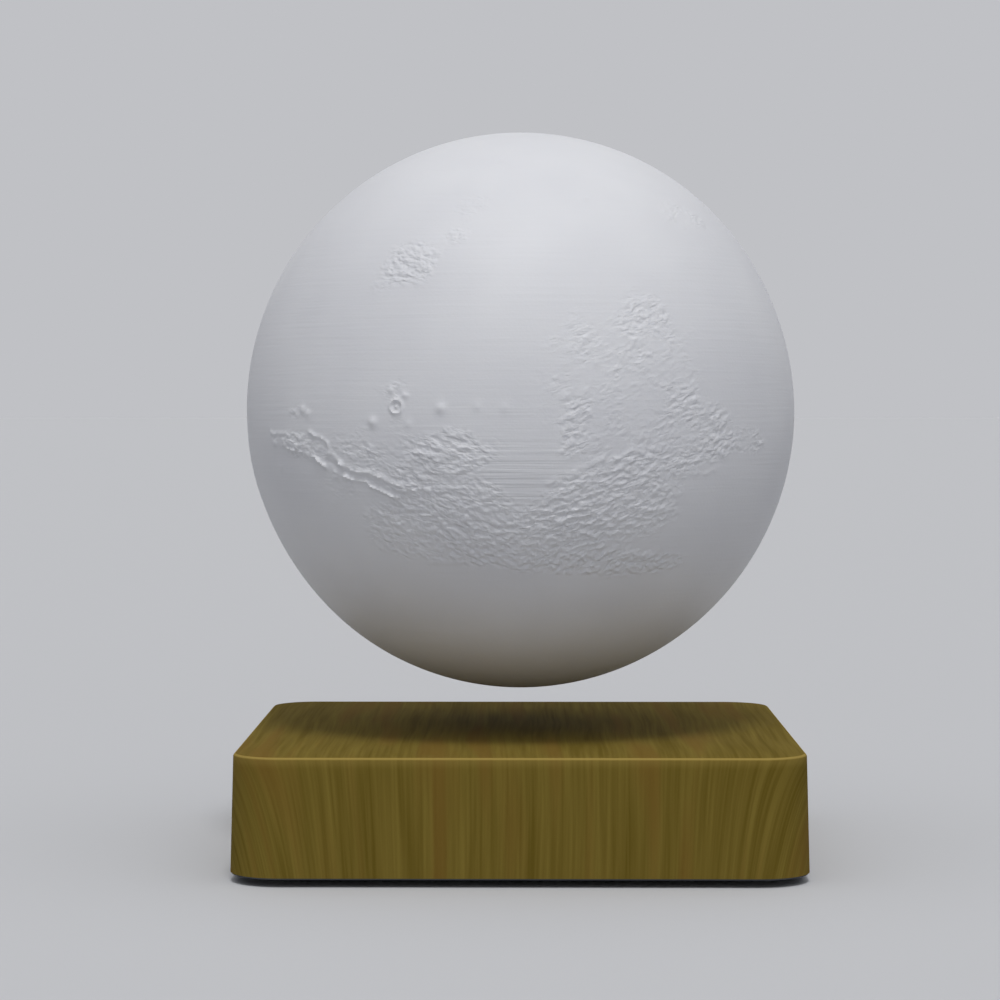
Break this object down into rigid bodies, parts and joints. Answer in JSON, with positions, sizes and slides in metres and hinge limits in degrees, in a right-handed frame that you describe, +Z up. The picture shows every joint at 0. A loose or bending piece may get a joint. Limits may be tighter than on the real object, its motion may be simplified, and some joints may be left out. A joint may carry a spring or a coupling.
{
  "type": "levitating table lamp",
  "caption": "Printed white globe lamp that floats and turns above a low square magnetic base with a wood-grain finish.",
  "frame": {"origin": "on the table, under the middle of the base", "axes": "+Z up, along the axis that the globe floats and turns on; -Y is the side that the picture shows, +Y the side with the power socket"},
  "size_m": [0.1501, 0.1496, 0.1961],
  "materials": {
    "wood_film": "printed wood-grain film on moulded plastic, satin",
    "black_abs": "fine moulded texture",
    "white_pla": "3-D printed, fine layer lines",
    "white_abs": "moulded, satin",
    "zinc_steel": "zinc plated",
    "nickel": "nickel plated",
    "copper_wire": "enamelled copper",
    "green_board": "solder mask",
    "white_board": "white solder mask",
    "component_black": "moulded epoxy",
    "capacitor_sleeve": "shrink sleeve",
    "black_rubber": "matt",
    "red_insulation": "wire insulation",
    "black_insulation": "wire insulation",
    "grey_insulation": "wire insulation"
  },
  "bodies": {
    "base": {"base_housing": "wood_film", "bottom_plate": "black_abs", "control_board": "green_board", "controller_chip": "component_black", "power_inductor": "component_black", "steel_backplate": "zinc_steel", "magnet_tray": "black_abs", "hall_sensor_board": "green_board", "transmitter_former": "black_abs", "transmitter_coil": "copper_wire", "power_socket": "black_abs", "socket_pin": "nickel", "socket_nut": "zinc_steel", "supply_lead_positive": "red_insulation", "supply_lead_negative": "black_insulation", "touch_pad": "copper_wire", "touch_lead": "grey_insulation", "rubber_foot_1": "black_rubber", "plate_screw_1": "zinc_steel", "stack_screw_1": "zinc_steel", "coil_bobbin_1": "white_abs", "coil_winding_1": "copper_wire", "rubber_foot_2": "black_rubber", "plate_screw_2": "zinc_steel", "stack_screw_2": "zinc_steel", "coil_bobbin_2": "white_abs", "coil_winding_2": "copper_wire", "rubber_foot_3": "black_rubber", "plate_screw_3": "zinc_steel", "stack_screw_3": "zinc_steel", "coil_bobbin_3": "white_abs", "coil_winding_3": "copper_wire", "rubber_foot_4": "black_rubber", "plate_screw_4": "zinc_steel", "stack_screw_4": "zinc_steel", "coil_bobbin_4": "white_abs", "coil_winding_4": "copper_wire", "ring_magnet_1": "nickel", "ring_magnet_2": "nickel", "ring_magnet_3": "nickel", "ring_magnet_4": "nickel", "ring_magnet_5": "nickel", "ring_magnet_6": "nickel", "ring_magnet_7": "nickel", "ring_magnet_8": "nickel", "smoothing_capacitor_1": "capacitor_sleeve", "smoothing_capacitor_2": "capacitor_sleeve"},
    "levitating_magnet": {"float_magnet": "nickel"},
    "globe": {"moon_globe": "white_pla", "globe_cap": "white_pla", "magnet_carrier": "white_abs", "receiver_coil": "copper_wire", "led_board": "white_board", "bridge_rectifier": "component_black", "led_driver_chip": "component_black", "lamp_capacitor": "capacitor_sleeve", "carrier_screw_1": "zinc_steel", "carrier_screw_2": "zinc_steel", "carrier_screw_3": "zinc_steel"}
  },
  "joints": [
    {"name": "hover", "type": "slide", "parent": "base", "child": "levitating_magnet", "axis": [0, 0, 1], "range_m": [-0.0109, 0.06], "stiffness_N_per_m": 80, "springref_m": 0.0358},
    {"name": "spin", "type": "hinge", "parent": "levitating_magnet", "child": "globe", "pos_m": [0, 0, 0.12], "axis": [0, 0, 1], "continuous": true}
  ]
}
